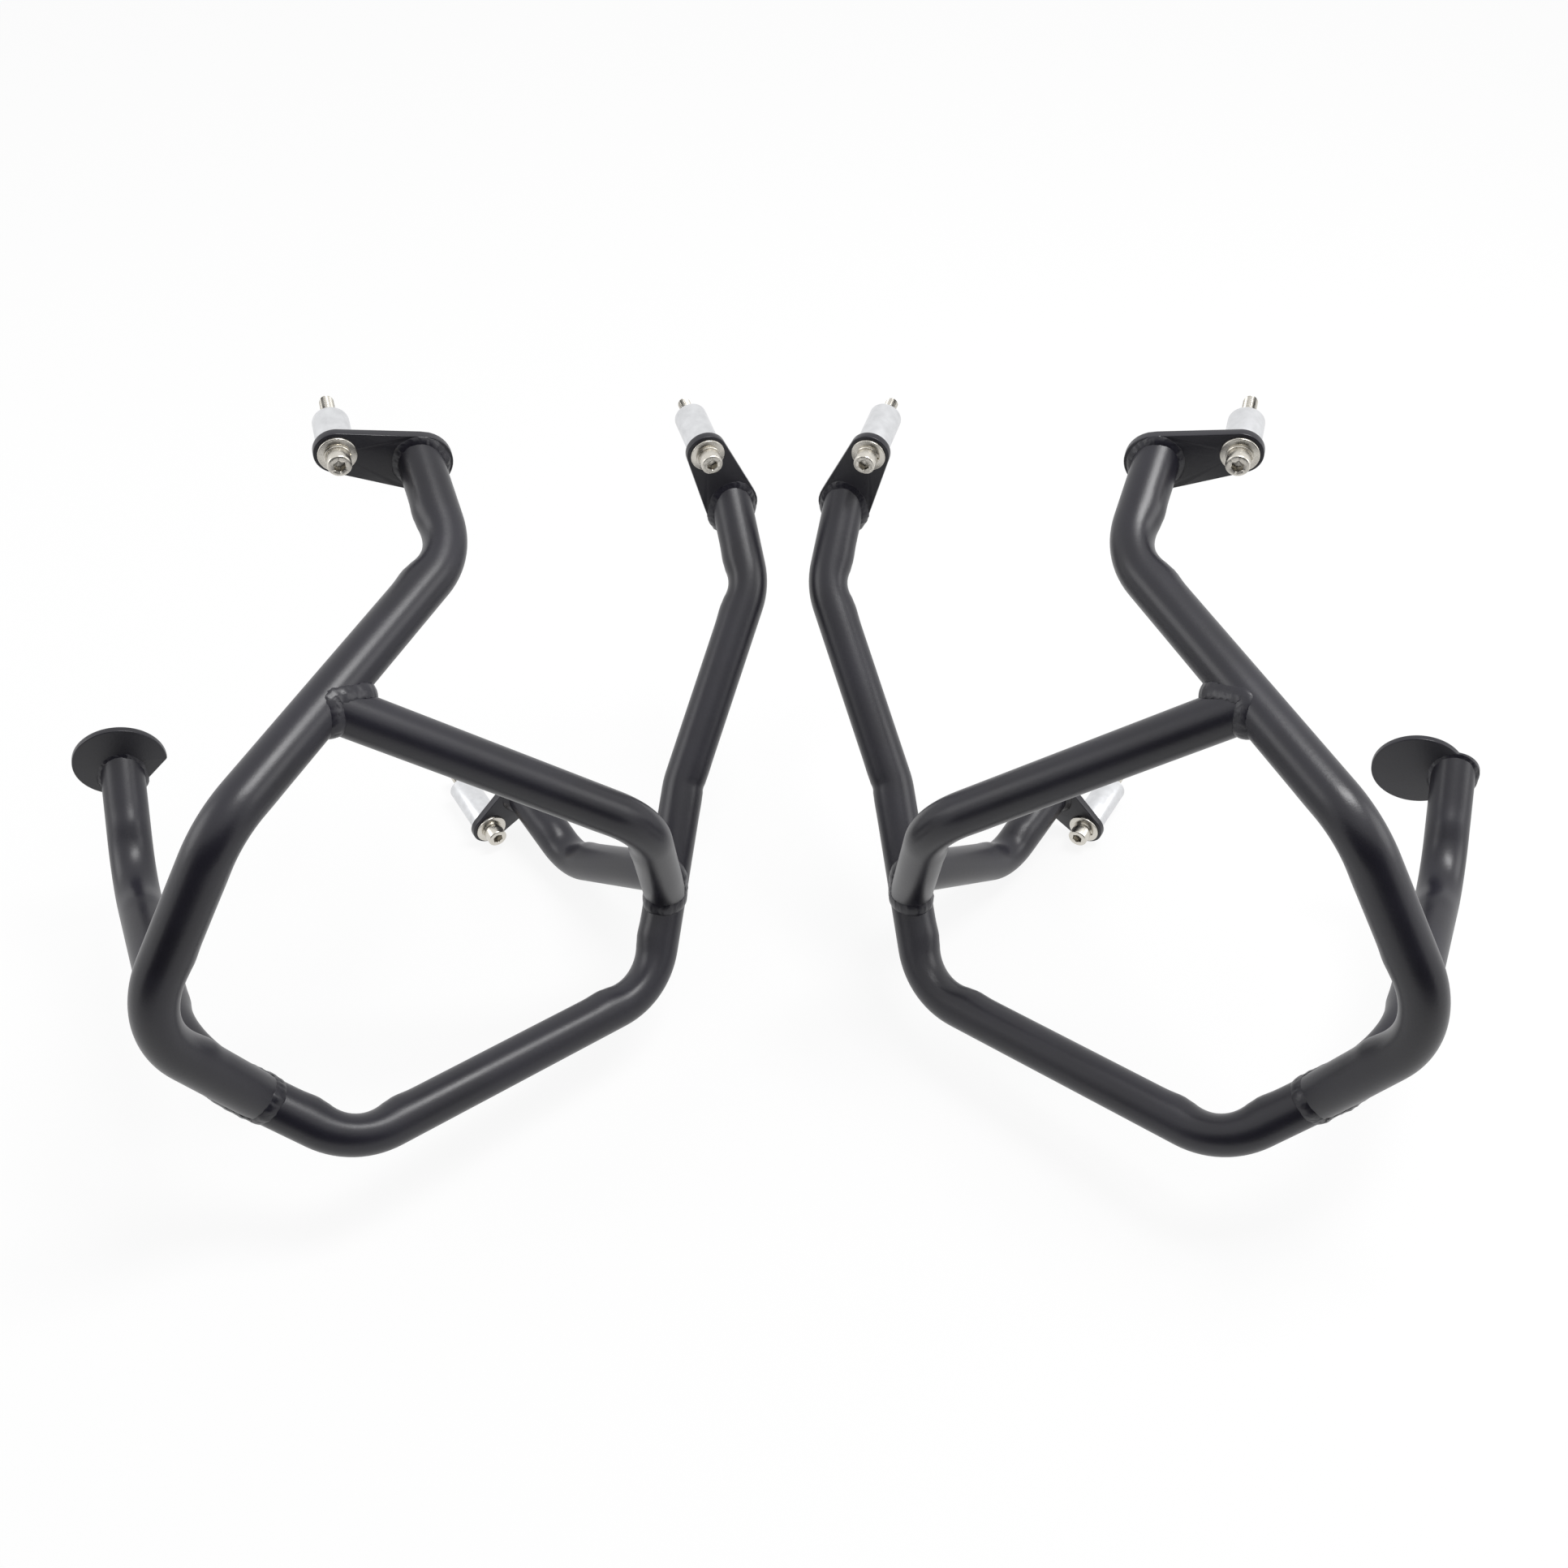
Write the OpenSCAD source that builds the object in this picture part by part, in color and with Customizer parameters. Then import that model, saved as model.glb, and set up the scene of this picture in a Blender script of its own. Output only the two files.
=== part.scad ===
// A pair of motorcycle crash bars: bent tube guards with bolted mounting plates.
// Each bar is drawn once in its own frame, X along the machine, Y towards the
// machine, Z up, with its origin where the frame tube meets the upper inner plate.
// The right bar is the left one mirrored but for its pad, and the two stand side by side.

/* [Tube] */
// Outside diameter of every tube
tube_d = 25.4; // [22:0.1:28]
// Wall of every tube
tube_wall = 2; // [1.5:0.1:3]
// Centreline radius of the usual bend
bend_r = 45; // [40:1:50]
// Centreline radius of the two wide front bends
wide_bend_r = 60; // [50:1:65]
// Centreline radius of the short tube's bend
stub_bend_r = 38; // [32:1:42]

/* [Tube joints] */
// Cross tube: distance down the hoop from its upper bend corner
cross_on_hoop = 115; // [95:1:125]
// Cross tube: distance down the frame tube from its knee corner
cross_on_frame = 69; // [64:1:74]
// Short tube: distance down the frame tube from its knee corner
stub_on_frame = 56; // [50:1:60]
// Hoop: distance up the front of the frame tube from its bottom corner
hoop_on_frame = 54; // [50:1:62]
// Leg of each weld fillet
weld_leg = 3.5; // [2:0.5:5]

/* [Mounting plates] */
// Thickness of the mounting plates
plate_t = 5; // [3:0.5:8]
// Plate left around the tube
plate_rim = 4; // [2:0.1:6]
// Plate left around the tube on the upper outer plate
outer_plate_rim = 5; // [2:0.1:8]
// Plate left around the flat washer
washer_rim = 2; // [1:0.5:5]
// Hole to tube centre distance of the upper outer plate
outer_plate_l = 44.5; // [40:0.5:60]
// Hole to tube centre distance of the upper inner plate
inner_plate_l = 44.5; // [34:0.5:55]
// Hole to tube centre distance of the middle plate
middle_plate_l = 33.5; // [33:0.5:48]
// Turn of the middle plate away from the upper two
middle_plate_yaw = 15; // [0:1:25]

/* [Pads] */
// Diameter of the round pad
pad_d = 54; // [44:1:64]
// Thickness of the pad
pad_t = 4; // [3:0.5:8]
// Pad left around the tube on the small lobe
lobe_rim = 2.3; // [1.5:0.1:5]

/* [Bolts] */
// Thread diameter
bolt_d = 8; // [6:0.5:10]
// Diameter of the waisted shank between head and thread
shank_d = 7.2; // [5:0.1:8]
// Diameter of the cap head
head_d = 13; // [12:0.5:16]
// Height of the cap head
head_h = 8; // [6:0.5:10]
// Width of the hexagon socket across its flats
socket_af = 6; // [4:0.5:7]
// Depth of the hexagon socket
socket_depth = 4; // [2:0.5:5]
// Length of thread left past the spacer of the upper outer bolt
outer_thread = 21; // [10:0.5:30]
// Length of thread left past the spacer of the upper inner bolt
inner_thread = 16; // [10:0.5:30]
// Length of thread left past the spacer of the middle bolt
middle_thread = 16; // [10:0.5:30]

/* [Washers] */
// Outside diameter of the flat washer
washer_d = 21; // [18:0.5:24]
// Thickness of the flat washer
washer_t = 1.6; // [1:0.1:2.5]
// Outside diameter of the spring washer
spring_d = 14.4; // [13:0.1:16]
// Thickness of the spring washer
spring_t = 2; // [1.5:0.1:3]
// Width of the split in the spring washer
spring_split = 1.5; // [0.5:0.1:3]

/* [Spacers] */
// Outside diameter of the spacers
spacer_d = 20; // [16:0.5:24]
// Length of the upper outer spacer
outer_spacer_l = 25; // [15:1:40]
// Length of the upper inner spacer
inner_spacer_l = 35; // [20:1:50]
// Length of the middle spacer
middle_spacer_l = 40; // [25:1:55]
// Chamfer at both ends of a spacer
spacer_chamfer = 1; // [0.5:0.1:2]

/* [Pair] */
// Distance between the upper inner corners of the two bars
pair_gap = 70; // [40:1:200]
// Turn of each bar's inner end away from the viewer
pair_yaw = 17.3; // [0:0.1:30]

/* [Hidden] */
$fn = 48;
tube_fn = 32;

coat = "#3b3c40";
zinc = "#b9b7b2";
alloy = "#d6d7d9";

// Corners of the frame tube, from the upper inner plate down, forward and up to the pad
frame_corners = [
    [0, 0, 0], [-2, -43, -30], [-70, -126, -104], [-119, -219, -175],
    [-300, -289, -147], [-376, -244, -93], [-403, -79, -132], [-397, -24, -95]
];
frame_radii = [bend_r, bend_r, bend_r, bend_r, wide_bend_r, wide_bend_r];
// Corners of the hoop, from the upper outer plate to the front, without its lower end
hoop_top = [-184, -33, 98];
hoop_corners = [hoop_top, [-180, -88, 76], [-316, -232, 59], [-379, -271, -26]];
hoop_radii = [bend_r, bend_r, wide_bend_r];
cross_corner = [-109, -202, -45];
stub_corner = [-140, -79, -207];
stub_end = [-160, -23, -194];

// Index of the corners between which a tube lands
knee = 2;
bottom = 4;
upper_bend = 1;

tube_r = tube_d / 2;
bore_r = tube_r - tube_wall;
bolt_fit = 0.5;
over = 1;
lap = 1;
bend_swell = 0.15;
straight_r = tube_r - bend_swell;
side_inset = 0.05;
reach = 80;
bolt_chamfer = 1;
thread_runout = 1;
head_chamfer = 0.6;
// Directions from the tube centre to the bolt hole, in the plane of each plate
outer_hole_angle = 161;
inner_hole_angle = 109;
middle_hole_angle = 214;
// How far the wide end of the upper outer plate lies below its tube
outer_plate_drop = 1.5;
// Centre of the round pad from the tube centre, in the plane of the pad
left_pad_shift = [1, 9];
right_pad_shift = [20, -4];
pad_flat = 21;
pad_flat_angle = -48;
// Brings the middle of the underside of the pair to the origin
pair_shift = [5.23, 164.62, 225.235];

function unit(v) = v / norm(v);
function along(a, b, d) = a + unit(b - a) * d;
// Half of the turn at corner i of a route
function half_turn(p, i) =
    acos(unit(p[i] - p[i - 1]) * unit(p[i + 1] - p[i])) / 2;
// Length of straight that the bend at corner i takes from each side
function setback(p, radii, i) =
    (i == 0 || i == len(p) - 1) ? 0 : radii[i - 1] * tan(half_turn(p, i));
// A route whose first or last leg is made longer
function longer_start(p, d) =
    [for (i = [0 : len(p) - 1]) i == 0 ? along(p[0], p[1], -d) : p[i]];
function longer_ends(p, d) =
    let (n = len(p) - 1)
    [for (i = [0 : n]) i == 0 ? along(p[0], p[1], -d) : i == n ? along(p[n], p[n - 1], -d) : p[i]];

frame_hoop_joint = along(frame_corners[bottom], frame_corners[bottom + 1], hoop_on_frame);
frame_cross_joint = along(frame_corners[knee], frame_corners[knee + 1], cross_on_frame);
frame_stub_joint = along(frame_corners[knee], frame_corners[knee + 1], stub_on_frame);
hoop_cross_joint =
    along(hoop_corners[upper_bend], hoop_corners[upper_bend + 1], cross_on_hoop);
hoop_route = concat(hoop_corners, [frame_hoop_joint]);
cross_route = [hoop_cross_joint, cross_corner, frame_cross_joint];
stub_route = [frame_stub_joint, stub_corner, stub_end];
pad_foot = frame_corners[len(frame_corners) - 1];
plate_hole_r = bolt_d / 2 + bolt_fit;

// Turns a child drawn along +Z to run along v
module aim(v) {
    rotate([0, acos(v[2] / norm(v)), atan2(v[1], v[0])]) children();
}

module rod(a, b, r) {
    translate(a) aim(b - a) cylinder(r = r, h = norm(b - a), $fn = tube_fn);
}

// One bend: a piece of torus from the straight before corner b to the one after it
module bend(a, b, c, radius, r) {
    u = unit(b - a);
    w = unit(c - b);
    turn = acos(u * w);
    inward = unit(w - (w * u) * u);
    centre = b - u * radius * tan(turn / 2) + inward * radius;
    side = cross(-inward, u);
    multmatrix([
        [-inward[0], u[0], side[0], centre[0]],
        [-inward[1], u[1], side[1], centre[1]],
        [-inward[2], u[2], side[2], centre[2]]
    ])
        rotate_extrude(angle = turn, $fn = 48)
            translate([radius, 0]) circle(r = r, $fn = tube_fn);
}

// The solid that a tube of radius r fills along its route. The straights run a little
// into the bends, which stand a hair proud of them as on a bent tube.
module run(p, radii, r) {
    n = len(p) - 1;
    for (i = [0 : n - 1])
        rod(along(p[i], p[i + 1], max(setback(p, radii, i) - lap, 0)),
            along(p[i + 1], p[i], max(setback(p, radii, i + 1) - lap, 0)), r - bend_swell);
    for (i = [1 : n - 1])
        bend(p[i - 1], p[i], p[i + 1], radii[i - 1], r);
}

module pipe(p, radii) {
    difference() {
        run(p, radii, tube_r);
        run(p, radii, bore_r);
    }
}

// Everything on the machine's side of a plate's outer face
module behind(foot, yaw = 0) {
    translate(foot) rotate([0, 0, yaw])
        translate([-reach / 2, 0, -reach / 2]) cube(reach);
}

// The slab as deep as a weld, on the outer face of a plate
module weld_slab(foot, yaw = 0) {
    translate(foot) rotate([0, 0, yaw])
        translate([-reach / 2, -weld_leg, -reach / 2]) cube([reach, weld_leg, reach]);
}

module frame_solid(r = tube_r) {
    run(frame_corners, frame_radii, r);
}

module frame_tube() {
    color(coat) difference() {
        pipe(longer_ends(frame_corners, tube_r * 2), frame_radii);
        behind(frame_corners[0]);
        behind(pad_foot);
    }
}

module hoop_tube() {
    color(coat) difference() {
        pipe(longer_start(hoop_route, tube_r), hoop_radii);
        behind(hoop_top);
        frame_solid();
    }
}

module cross_tube() {
    color(coat) difference() {
        pipe(cross_route, [bend_r]);
        run(hoop_route, hoop_radii, tube_r);
        frame_solid();
    }
}

module stub_tube() {
    color(coat) difference() {
        pipe([frame_stub_joint, stub_corner, along(stub_end, stub_corner, -tube_r)], [stub_bend_r]);
        frame_solid();
        behind(stub_end, middle_plate_yaw);
    }
}

// Two discs and the straight sides that join them, a hair inside their tangents
module teardrop(r1, r2, l, h) {
    t = acos((r1 - r2) / l);
    a = r1 - side_inset;
    b = r2 - side_inset;
    cylinder(r = r1, h = h);
    translate([l, 0, 0]) cylinder(r = r2, h = h);
    linear_extrude(h) polygon([
        [a * cos(t), a * sin(t)], [l + b * cos(t), b * sin(t)],
        [l + b * cos(t), -b * sin(t)], [a * cos(t), -a * sin(t)]
    ]);
}

// Lays a plate drawn on the ground plane against its outer face, thick towards the machine
module on_plate(foot, yaw, t) {
    translate(foot) rotate([0, 0, yaw]) translate([0, t, 0]) rotate([90, 0, 0]) children();
}

// A plate with its wide end around the tube, or the drop below it, and its hole at the angle
module plate(foot, yaw, angle, l, rim = plate_rim, drop = 0) {
    way = [l * cos(angle), l * sin(angle) + drop];
    color(coat) on_plate(foot, yaw, plate_t)
        translate([0, -drop]) rotate(atan2(way[1], way[0])) difference() {
            teardrop(tube_r + rim, washer_d / 2 + washer_rim, norm(way), plate_t);
            translate([norm(way), 0, -over]) cylinder(r = plate_hole_r, h = plate_t + 2 * over);
        }
}

// The left pad is round with one flat, and the tube stands near its middle
module left_pad() {
    color(coat) on_plate(pad_foot, 0, pad_t)
        translate(left_pad_shift) difference() {
            cylinder(d = pad_d, h = pad_t);
            rotate(pad_flat_angle)
                translate([pad_flat, -pad_d / 2, -over]) cube([pad_d, pad_d, pad_t + 2 * over]);
        }
}

// The right pad is a keyhole, and the tube stands on its small lobe
module right_pad() {
    color(coat) on_plate(pad_foot, 0, pad_t) {
        cylinder(r = tube_r + lobe_rim, h = pad_t);
        translate(right_pad_shift) cylinder(d = pad_d, h = pad_t);
    }
}

// A fillet around the end of a tube that stands on a plate
module plate_weld(foot, yaw, next) {
    difference() {
        intersection() {
            weld_slab(foot, yaw);
            rod(along(foot, next, -tube_r), along(foot, next, tube_d), tube_r + weld_leg);
        }
        rod(along(foot, next, -tube_d), along(foot, next, tube_d * 2), straight_r);
    }
}

module welds() {
    color(coat) {
        plate_weld(frame_corners[0], 0, frame_corners[1]);
        plate_weld(hoop_top, 0, hoop_corners[1]);
        plate_weld(stub_end, middle_plate_yaw, stub_corner);
        plate_weld(pad_foot, 0, frame_corners[len(frame_corners) - 2]);
    }
}

// Places a bolted mount: +Z from the plate's outer face away from the machine
module at_hole(foot, yaw, angle, l) {
    translate(foot) rotate([0, 0, yaw]) rotate([90, 0, 0])
        translate([l * cos(angle), l * sin(angle), 0]) children();
}

module flat_washer() {
    color(zinc) difference() {
        cylinder(d = washer_d, h = washer_t);
        translate([0, 0, -over]) cylinder(r = plate_hole_r, h = washer_t + 2 * over);
    }
}

module spring_washer() {
    color(zinc) translate([0, 0, washer_t]) difference() {
        cylinder(d = spring_d, h = spring_t);
        translate([0, 0, -over]) cylinder(r = bolt_d / 2 + 0.1, h = spring_t + 2 * over);
        rotate([20, 0, 0])
            translate([0, -spring_split / 2, -spring_t]) cube([spring_d, spring_split, spring_t * 3]);
    }
}

module cap_screw(spacer_l, thread) {
    under_head = washer_t + spring_t;
    tip = plate_t + spacer_l + thread;
    thread_end = plate_t + spacer_l + thread_runout;
    color(zinc) difference() {
        union() {
            translate([0, 0, under_head]) cylinder(d = head_d, h = head_h - head_chamfer);
            translate([0, 0, under_head + head_h - head_chamfer])
                cylinder(d1 = head_d, d2 = head_d - 2 * head_chamfer, h = head_chamfer);
            translate([0, 0, -thread_end]) cylinder(d = shank_d, h = thread_end + under_head + over);
            translate([0, 0, bolt_chamfer - tip])
                cylinder(d = bolt_d, h = tip - bolt_chamfer - thread_end);
            translate([0, 0, -tip])
                cylinder(d1 = bolt_d - 2 * bolt_chamfer, d2 = bolt_d, h = bolt_chamfer);
        }
        translate([0, 0, under_head + head_h - socket_depth])
            cylinder(d = socket_af / cos(30), h = socket_depth + over, $fn = 6);
    }
}

module spacer(l) {
    inner = plate_hole_r;
    outer = spacer_d / 2;
    color(alloy) translate([0, 0, -plate_t - l]) rotate_extrude()
        polygon([
            [inner, 0], [outer - spacer_chamfer, 0], [outer, spacer_chamfer],
            [outer, l - spacer_chamfer], [outer - spacer_chamfer, l], [inner, l]
        ]);
}

module fastener(kind, spacer_l, thread) {
    if (kind == "bolt") cap_screw(spacer_l, thread);
    if (kind == "spring_washer") spring_washer();
    if (kind == "flat_washer") flat_washer();
    if (kind == "spacer") spacer(spacer_l);
}

module outer_mount(kind) {
    at_hole(hoop_top, 0, outer_hole_angle, outer_plate_l)
        fastener(kind, outer_spacer_l, outer_thread);
}

module inner_mount(kind) {
    at_hole(frame_corners[0], 0, inner_hole_angle, inner_plate_l)
        fastener(kind, inner_spacer_l, inner_thread);
}

module middle_mount(kind) {
    at_hole(stub_end, middle_plate_yaw, middle_hole_angle, middle_plate_l)
        fastener(kind, middle_spacer_l, middle_thread);
}

// One named piece of a bar, in the bar's own frame
module piece(name, side) {
    if (name == "hoop_tube") hoop_tube();
    if (name == "frame_tube") frame_tube();
    if (name == "cross_tube") cross_tube();
    if (name == "stub_tube") stub_tube();
    if (name == "upper_outer_plate") 
        plate(hoop_top, 0, outer_hole_angle, outer_plate_l, outer_plate_rim, outer_plate_drop);
    if (name == "upper_inner_plate") plate(frame_corners[0], 0, inner_hole_angle, inner_plate_l);
    if (name == "middle_plate") plate(stub_end, middle_plate_yaw, middle_hole_angle, middle_plate_l);
    if (name == "pad" && side == "left") left_pad();
    if (name == "pad" && side == "right") right_pad();
    if (name == "welds") welds();
    for (kind = ["bolt", "spring_washer", "flat_washer", "spacer"]) {
        if (name == str("upper_outer_", kind)) outer_mount(kind);
        if (name == str("upper_inner_", kind)) inner_mount(kind);
        if (name == str("middle_", kind)) middle_mount(kind);
    }
}

PIECES = [
    "hoop_tube", "frame_tube", "cross_tube", "stub_tube",
    "upper_outer_plate", "upper_inner_plate", "middle_plate", "pad", "welds",
    "upper_outer_bolt", "upper_outer_spring_washer", "upper_outer_flat_washer", "upper_outer_spacer",
    "upper_inner_bolt", "upper_inner_spring_washer", "upper_inner_flat_washer", "upper_inner_spacer",
    "middle_bolt", "middle_spring_washer", "middle_flat_washer", "middle_spacer"
];

module place_left() {
    translate(pair_shift) translate([-pair_gap / 2, 0, 0]) rotate([0, 0, pair_yaw]) children();
}

module place_right() {
    translate(pair_shift) mirror([1, 0, 0])
        translate([-pair_gap / 2, 0, 0]) rotate([0, 0, pair_yaw]) children();
}

for (name = PIECES) {
    place_left() piece(name, "left");
    place_right() piece(name, "right");
}
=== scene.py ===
"""A left and a right motorcycle crash bar of bent steel tube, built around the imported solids."""

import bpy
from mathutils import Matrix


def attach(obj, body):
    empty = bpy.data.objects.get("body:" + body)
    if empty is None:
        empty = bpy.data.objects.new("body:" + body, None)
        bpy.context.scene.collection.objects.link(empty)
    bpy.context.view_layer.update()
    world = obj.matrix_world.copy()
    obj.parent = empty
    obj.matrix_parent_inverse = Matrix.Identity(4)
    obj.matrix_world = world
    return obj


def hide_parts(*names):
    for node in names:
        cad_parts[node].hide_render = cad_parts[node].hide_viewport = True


bl_info = {
    "name": "Motorcycle crash bars",
    "version": (1, 0, 0),
    "blender": (4, 5, 0),
    "location": "View3D > Sidebar > Crash bars",
    "description": "Bent tube bars with their plates, pads, welds, bolts and spacers",
    "category": "Add Mesh",
}

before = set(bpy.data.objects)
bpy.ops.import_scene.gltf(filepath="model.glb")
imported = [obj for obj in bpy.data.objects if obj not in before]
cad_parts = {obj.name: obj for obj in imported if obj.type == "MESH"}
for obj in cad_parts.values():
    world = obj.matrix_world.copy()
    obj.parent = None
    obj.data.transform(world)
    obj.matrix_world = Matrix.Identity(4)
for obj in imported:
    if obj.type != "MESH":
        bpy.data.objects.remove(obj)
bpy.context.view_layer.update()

import math
from contextlib import contextmanager

import bmesh
import bpy
from mathutils import Matrix, Vector

MM = 0.001
SIDES = ("left", "right")

# Centrelines in a bar's own frame, in millimetres: X along the machine, Y towards it, Z up
FRAME_CORNERS = [
    (0, 0, 0), (-2, -43, -30), (-70, -126, -104), (-119, -219, -175),
    (-300, -289, -147), (-376, -244, -93), (-403, -79, -132), (-397, -24, -95),
]
FRAME_RADII = [45, 45, 45, 45, 60, 60]
HOOP_CORNERS = [(-184, -33, 98), (-180, -88, 76), (-316, -232, 59), (-379, -271, -26)]
HOOP_RADII = [45, 45, 60]
CROSS_CORNER = (-109, -202, -45)
CROSS_RADII = [45]
STUB_CORNER = (-140, -79, -207)
STUB_END = (-160, -23, -194)
STUB_RADII = [38]
# Distances of the joints from the corner before them, in millimetres
HOOP_ON_FRAME = 54
CROSS_ON_HOOP = 115
CROSS_ON_FRAME = 69
STUB_ON_FRAME = 56

# Each plate: foot of its tube, turn about Z, way to the hole, hole distance, plate left around
# the tube, how far its wide end lies below the tube, and its bolt's spacer and free thread
PLATES = {
    "upper_outer": {"foot": (-184, -33, 98), "yaw": 0, "angle": 161, "reach": 44.5,
                    "rim": 5, "drop": 1.5, "spacer": 25, "thread": 21},
    "upper_inner": {"foot": (0, 0, 0), "yaw": 0, "angle": 109, "reach": 44.5,
                    "rim": 4, "drop": 0, "spacer": 35, "thread": 16},
    "middle": {"foot": (-160, -23, -194), "yaw": 15, "angle": 214, "reach": 33.5,
               "rim": 4, "drop": 0, "spacer": 40, "thread": 16},
}
# The pads: foot of their tube, middle of the round seen from that foot, how far the left pad's
# flat lies from the round's middle and which way, and the right pad's rim left around its tube
PAD_FOOT = (-397, -24, -95)
PAD_MIDDLES = {"left": (1 * MM, 9 * MM), "right": (20 * MM, -4 * MM)}
PAD_FLAT = 21 * MM
PAD_FLAT_ANGLE = math.radians(-48)
PAD_LOBE_RIM = 2.3 * MM
# Place of the pair's middle, distance between the bars and turn of each
PAIR_MIDDLE = (5.23, 164.62, 225.235)
PAIR_GAP = 70
PAIR_YAW = 17.3


def vec(point):
    """A point in millimetres as a vector in metres."""
    return Vector(point) * MM


def along(a, b, distance):
    """The point at that distance in metres from a towards b."""
    return a + (b - a).normalized() * distance


def side_matrix(side):
    """Carries a bar's own frame to the row's frame."""
    flip = Matrix.Scale(-1, 4, (1, 0, 0)) if side == "right" else Matrix()
    return (Matrix.Translation(vec(PAIR_MIDDLE)) @ flip
            @ Matrix.Translation(vec((-PAIR_GAP / 2, 0, 0)))
            @ Matrix.Rotation(math.radians(PAIR_YAW), 4, "Z"))


def plate_matrix(foot, yaw):
    """Carries a plate's own frame, +Z away from the machine, to a bar's frame."""
    return (Matrix.Translation(vec(foot)) @ Matrix.Rotation(math.radians(yaw), 4, "Z")
            @ Matrix.Rotation(math.radians(90), 4, "X"))


def hole_matrix(plate):
    """As plate_matrix, with its origin at the plate's hole."""
    angle = math.radians(plate["angle"])
    reach = plate["reach"] * MM
    return plate_matrix(plate["foot"], plate["yaw"]) @ Matrix.Translation(
        (reach * math.cos(angle), reach * math.sin(angle), 0))


def mounts():
    """Each mount: what its solids' names begin with, its plate and its hole's matrix."""
    for side in SIDES:
        for name, plate in PLATES.items():
            yield f"{side}_{name}", plate, side_matrix(side) @ hole_matrix(plate)


def mount_nodes(kind):
    return [f"{node}_{kind}" for node, _, _ in mounts()]


def colour(hexadecimal):
    """An sRGB hex value as a linear colour with alpha."""
    channels = [int(hexadecimal[i:i + 2], 16) / 255 for i in (1, 3, 5)]
    return tuple(c / 12.92 if c <= 0.04045 else ((c + 0.055) / 1.055) ** 2.4
                 for c in channels) + (1.0,)


def put(tree, kind, inputs=None, **settings):
    """Adds a node with its settings. An input is a value or the socket that feeds it."""
    made = tree.nodes.new(kind)
    for name, value in settings.items():
        setattr(made, name, value)
    for name, value in (inputs or {}).items():
        if isinstance(value, bpy.types.NodeSocket):
            tree.links.new(value, made.inputs[name])
        else:
            made.inputs[name].default_value = value
    return made


def raw_mesh(name, points, edges=(), faces=()):
    mesh = bpy.data.meshes.new(name)
    mesh.from_pydata(points, edges, faces)
    return mesh


def mesh_object(name, mesh):
    """A shown object at the origin that holds this mesh."""
    made = bpy.data.objects.new(name, mesh)
    bpy.context.scene.collection.objects.link(made)
    return made


def mark(mesh, name, values):
    """Stores a number or a vector at each point of a mesh, for a geometry tree to read."""
    vectors = isinstance(values[0], Vector)
    made = mesh.attributes.new(name, "FLOAT_VECTOR" if vectors else "FLOAT", "POINT")
    for item, value in zip(made.data, values):
        if vectors:
            item.vector = value
        else:
            item.value = value


def finished(obj, nodes):
    """Ties a finished piece to the frame: its body and the solids it stands for."""
    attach(obj, "root")
    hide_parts(*nodes)


@contextmanager
def edited(mesh):
    """Opens a mesh for editing and writes it back."""
    work = bmesh.new()
    work.from_mesh(mesh)
    yield work
    work.to_mesh(mesh)
    work.free()


def closed_edit(name, work):
    """Ends an edit that began without a mesh, and gives its mesh."""
    mesh = bpy.data.meshes.new(name)
    work.to_mesh(mesh)
    work.free()
    return mesh


def dressed(mesh, angle):
    """Turns every face outwards and shades the mesh smooth, but for edges sharper than the
    angle in degrees."""
    with edited(mesh) as work:
        bmesh.ops.recalc_face_normals(work, faces=work.faces)
    smooth(mesh, angle)


def smooth(mesh, angle):
    """Smooth shading that keeps edges sharper than the angle, in degrees, crisp."""
    for polygon in mesh.polygons:
        polygon.use_smooth = True
    with edited(mesh) as work:
        for edge in work.edges:
            if len(edge.link_faces) == 2:
                edge.smooth = edge.calc_face_angle(0) < math.radians(angle)


def shown(name, mesh, finish, node):
    """Makes a finished piece of a mesh that stands for one solid."""
    mesh.materials.append(material(finish))
    dressed(mesh, angle=30)
    finished(mesh_object(name, mesh), [node])


def forget(mesh, names):
    """Takes a tree's working attributes off its result."""
    for name in names:
        if name in mesh.attributes:
            mesh.attributes.remove(mesh.attributes[name])


# Materials

def new_material(name):
    """A material without nodes, and its tree."""
    made = bpy.data.materials.new(name)
    made.use_nodes = True
    made.node_tree.nodes.clear()
    return made, made.node_tree


def noise(tree, scale, detail, **more):
    """A noise over the object. A scale of 1000 has crests about a millimetre apart."""
    place = put(tree, "ShaderNodeTexCoord").outputs["Object"]
    return put(tree, "ShaderNodeTexNoise", {"Vector": place, "Scale": scale, "Detail": detail,
                                            **more}).outputs["Fac"]


def two_tones(tree, share, dark, light):
    """A blend of two hex values over the middle of a noise."""
    ramp = put(tree, "ShaderNodeValToRGB", {"Fac": share})
    for k, (place, tone) in enumerate(((0.3, dark), (0.7, light))):
        ramp.color_ramp.elements[k].position = place
        ramp.color_ramp.elements[k].color = colour(tone)
    return ramp.outputs["Color"]


def ranged(tree, share, first, last, low, high, **settings):
    """Takes a share from first to last over to a value from low to high."""
    return put(tree, "ShaderNodeMapRange", {
        "Value": share, "From Min": first, "From Max": last, "To Min": low, "To Max": high},
        **settings).outputs["Result"]


def bumped(tree, height, strength, distance, **more):
    return put(tree, "ShaderNodeBump", {"Height": height, "Strength": strength,
                                        "Distance": distance, **more}).outputs["Normal"]


def surfaced(tree, tone, roughness, normal, metallic, **more):
    """Ends a material in its surface."""
    shader = put(tree, "ShaderNodeBsdfPrincipled", {
        "Base Color": tone, "Roughness": roughness, "Normal": normal, "Metallic": metallic,
        **more})
    put(tree, "ShaderNodeOutputMaterial", {"Surface": shader.outputs["BSDF"]})


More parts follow.
